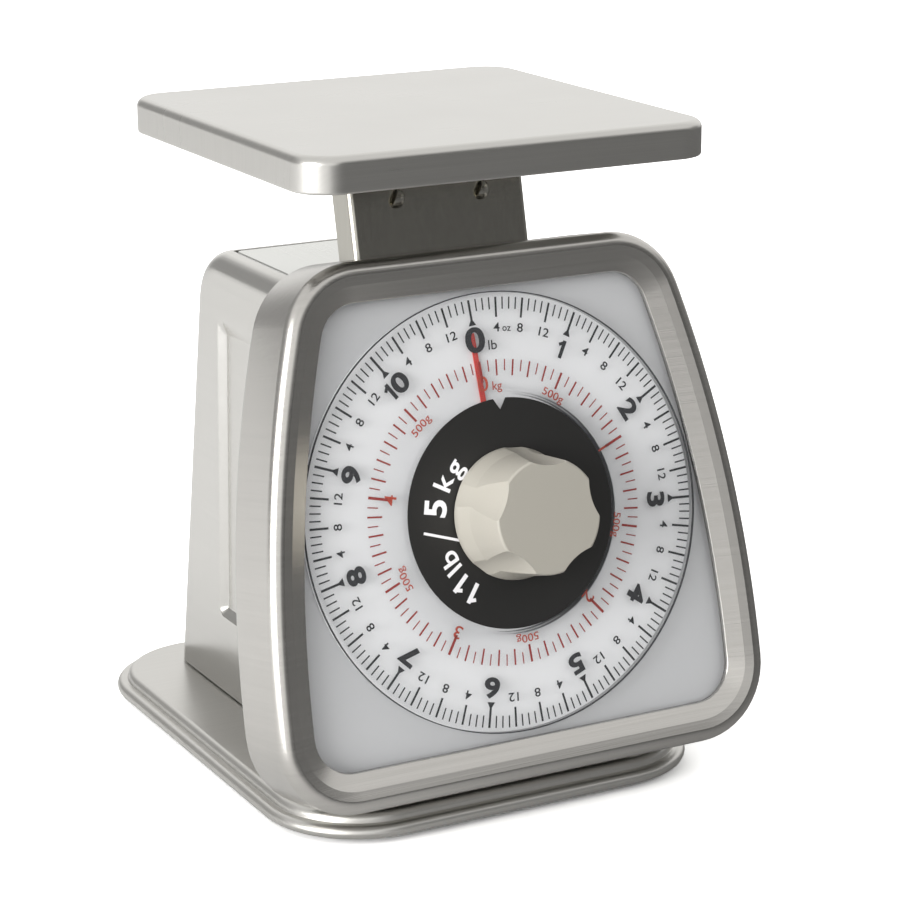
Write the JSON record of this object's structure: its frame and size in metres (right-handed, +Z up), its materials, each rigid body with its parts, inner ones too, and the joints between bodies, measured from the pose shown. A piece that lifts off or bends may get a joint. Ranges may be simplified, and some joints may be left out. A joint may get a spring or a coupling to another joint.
{
  "type": "mechanical kitchen scale",
  "caption": "Spring kitchen scale in brushed steel: square weighing platform on a post, leaning round dial with a red pointer, rotating tare knob, tapered housing and wide base.",
  "frame": {"origin": "on the table under the middle of the scale's bounding box", "axes": "+Z up, the dial faces -Y and leans back, +X to the right of someone reading the dial"},
  "size_m": [0.188, 0.22, 0.2351],
  "materials": {
    "brushed_stainless": "satin brushed stainless steel sheet with a fine straight grain",
    "zinc_plated_steel": "zinc plated steel",
    "bright_steel": "ground bright steel",
    "spring_steel": "nickel plated spring wire",
    "brass": "turned brass",
    "black_rubber": "moulded black rubber",
    "grey_face_paint": "smooth light blue-grey paint",
    "white_dial": "matt white print",
    "clear_dial": "clear polycarbonate disc with printed scales",
    "clear_lens": "clear glossy polycarbonate",
    "black_label": "satin black print",
    "ivory_knob": "satin warm grey-white moulded plastic",
    "red_pointer": "satin red paint",
    "white_nylon": "natural nylon"
  },
  "bodies": {
    "root": {"base_plate": "brushed_stainless", "rubber_foot_1": "black_rubber", "rubber_foot_2": "black_rubber", "rubber_foot_3": "black_rubber", "rubber_foot_4": "black_rubber", "rear_housing": "brushed_stainless", "top_cover": "brushed_stainless", "rear_screw_left": "zinc_plated_steel", "rear_screw_right": "zinc_plated_steel", "front_bezel": "brushed_stainless", "pan_back": "zinc_plated_steel", "pan_screw_1": "zinc_plated_steel", "pan_screw_2": "zinc_plated_steel", "pan_screw_3": "zinc_plated_steel", "pan_screw_4": "zinc_plated_steel", "face_plate": "grey_face_paint", "dial_backing": "white_dial", "lens": "clear_lens", "center_label": "black_label", "lens_bush": "brass", "movement_bracket": "zinc_plated_steel", "front_bush": "brass", "rear_bush": "brass", "rack_guide": "white_nylon", "mechanism_frame": "zinc_plated_steel", "upper_frame_pin": "bright_steel", "lower_frame_pin": "bright_steel", "spring_bridge": "zinc_plated_steel", "spring_adjuster_left": "brass", "spring_adjuster_right": "brass", "spring_left": "spring_steel", "spring_right": "spring_steel", "dashpot_cylinder": "brass"},
    "load": {"support_post": "brushed_stainless", "load_frame": "zinc_plated_steel", "platform_bracket": "zinc_plated_steel", "platform_pad_1": "black_rubber", "platform_pad_2": "black_rubber", "platform_pad_3": "black_rubber", "platform_pad_4": "black_rubber", "upper_load_pin": "bright_steel", "lower_load_pin": "bright_steel", "rack": "brass", "dashpot_rod": "bright_steel", "dashpot_piston": "white_nylon"},
    "platform": {"platform": "brushed_stainless"},
    "pointer": {"pointer": "red_pointer", "pointer_arbor": "bright_steel", "pinion": "brass"},
    "dial": {"dial_disc": "clear_dial", "dial_hub": "white_nylon", "tare_shaft": "brass", "tare_knob": "ivory_knob"},
    "upper_link": {"upper_link": "zinc_plated_steel"},
    "lower_link": {"lower_link": "zinc_plated_steel"}
  },
  "joints": [
    {"name": "load_slide", "type": "slide", "parent": "root", "child": "load", "axis": [0, -0.2215, -0.9751], "range_m": [0, 0.01507], "stiffness_N_per_m": 3170, "springref_m": -0.0026, "deforming": ["spring_left", "spring_right"]},
    {"name": "pointer_spin", "type": "hinge", "parent": "root", "child": "pointer", "pos_m": [0, -0.07594, 0.1063], "axis": [0, 0.9751, -0.2215], "range_deg": [0, 361]},
    {"name": "upper_link_swing", "type": "hinge", "parent": "root", "child": "upper_link", "pos_m": [0, 0.00449, 0.12952], "axis": [1, 0, 0], "range_deg": [0, 23]},
    {"name": "lower_link_swing", "type": "hinge", "parent": "root", "child": "lower_link", "pos_m": [0, -0.01723, 0.03395], "axis": [1, 0, 0], "range_deg": [0, 23]},
    {"name": "dial_turn", "type": "hinge", "parent": "root", "child": "dial", "pos_m": [0, -0.07594, 0.1063], "axis": [0, -0.9751, 0.2215], "continuous": true},
    {"name": "platform_lift", "type": "slide", "parent": "load", "child": "platform", "axis": [0, 0, 1], "range_m": [0, 0.04]}
  ],
  "couplings": [
    {"joint": "pointer_spin", "follows": "load_slide", "rad_per_m": 416.67},
    {"joint": "upper_link_swing", "follows": "load_slide", "rad_per_m": 25.151},
    {"joint": "lower_link_swing", "follows": "load_slide", "rad_per_m": 25.151}
  ]
}
